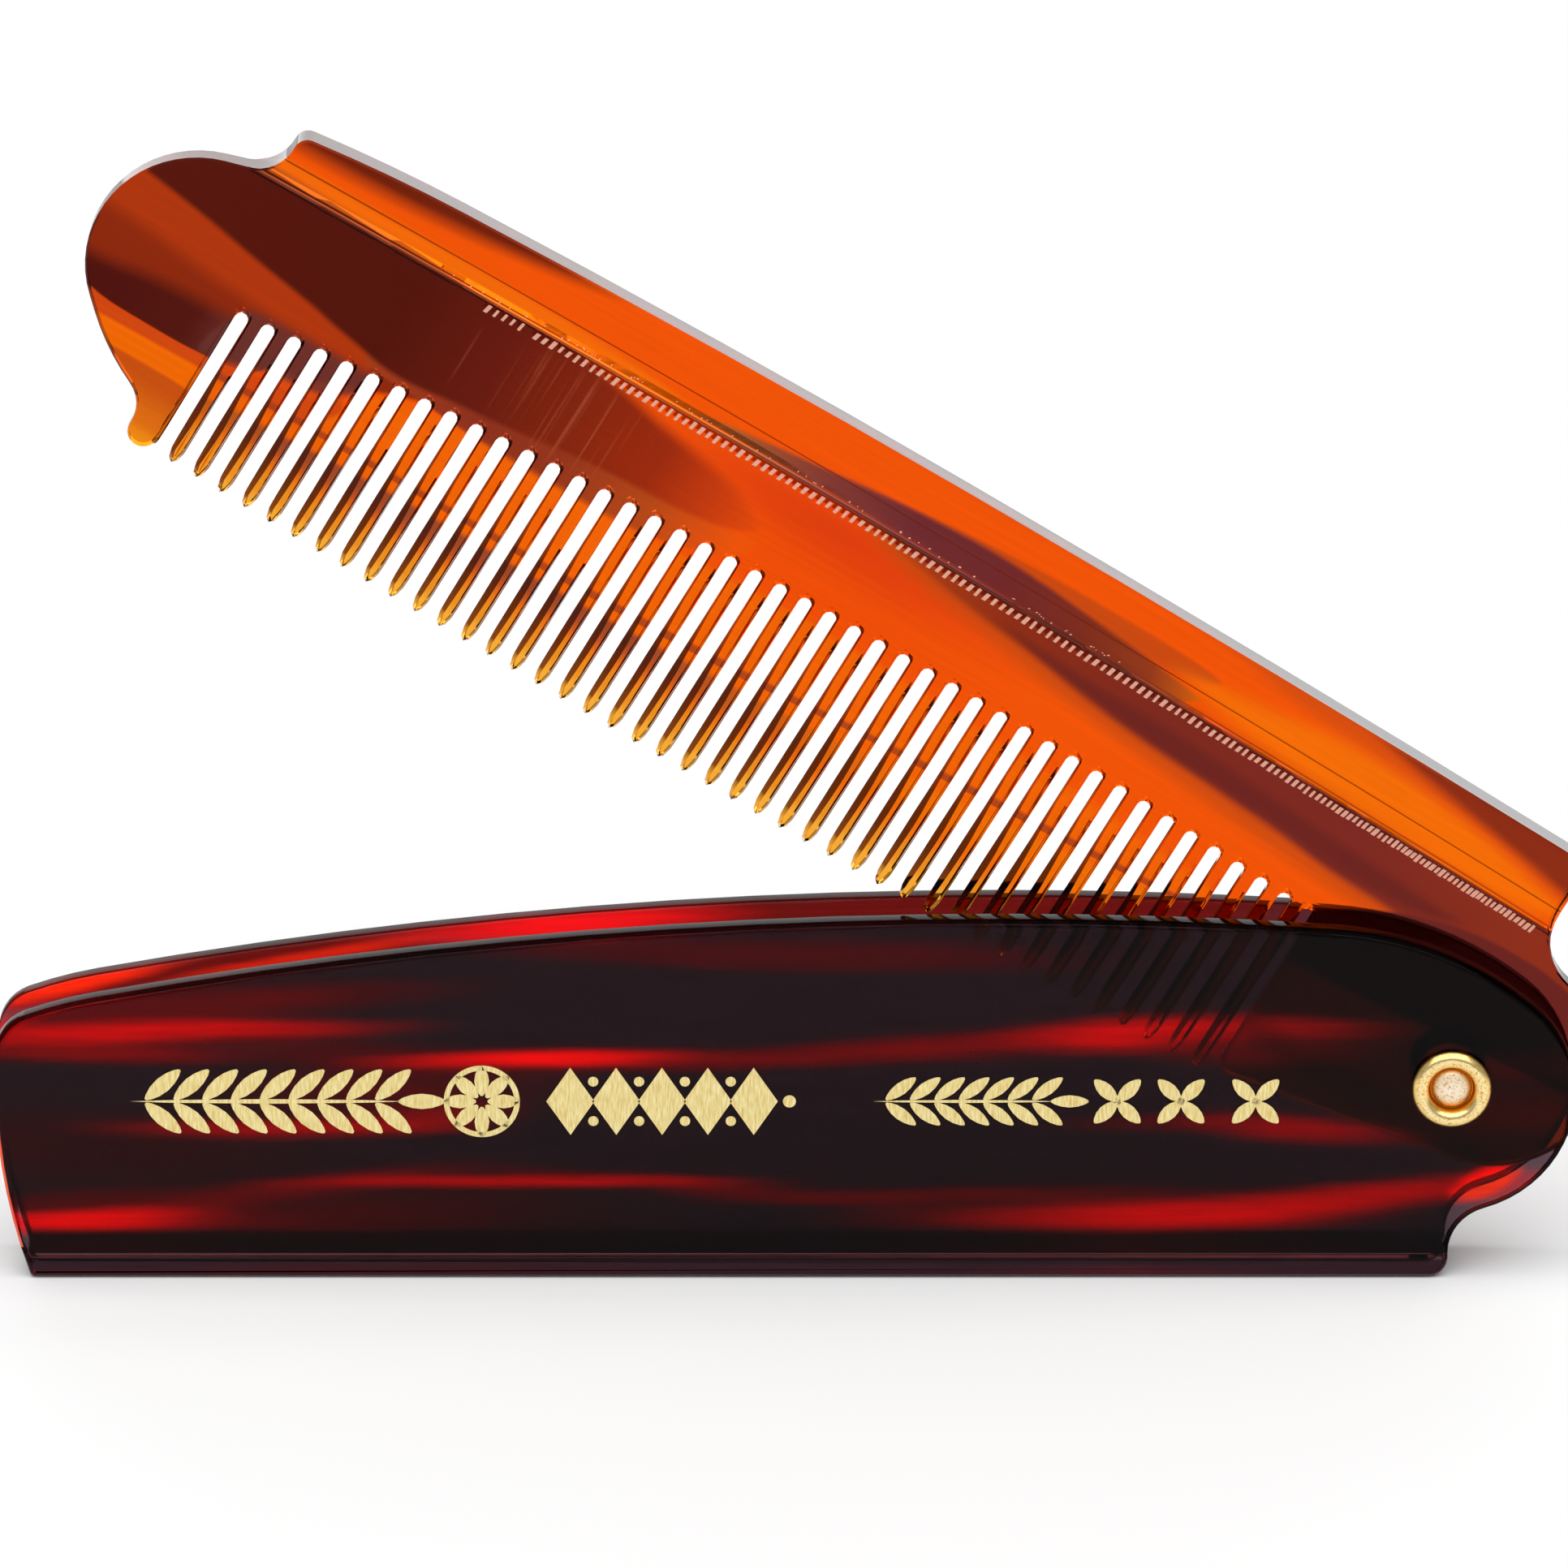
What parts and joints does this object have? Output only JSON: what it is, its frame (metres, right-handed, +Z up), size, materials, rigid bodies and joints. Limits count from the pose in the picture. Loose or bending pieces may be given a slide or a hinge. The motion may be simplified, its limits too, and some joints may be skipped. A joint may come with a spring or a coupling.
{
  "type": "folding comb",
  "caption": "Pocket folding comb: a slim two-leaf acetate case standing on its spine, with a fine-toothed comb swung part way out of the slot on a tubular rivet.",
  "frame": {"origin": "middle of the spine's lower face, which rests on the table, halfway along and across the case", "axes": "+X along the case from its open end to the hinge, +Y from the front leaf to the back leaf, +Z up from the table"},
  "size_m": [0.1038, 0.0081, 0.0758],
  "materials": {
    "case_acetate": "polished dark tortoiseshell cellulose acetate, near black with red streaks",
    "comb_acetate": "polished amber and brown tortoiseshell cellulose acetate",
    "brass": "bright rolled brass"
  },
  "bodies": {
    "case": {"case": "case_acetate", "rivet": "brass"},
    "comb": {"comb": "comb_acetate"}
  },
  "joints": [
    {"name": "comb_swing", "type": "hinge", "parent": "case", "child": "comb", "pos_m": [0.0458, 0, 0.0131], "axis": [0, 1, 0], "range_deg": [-33, 147]}
  ]
}
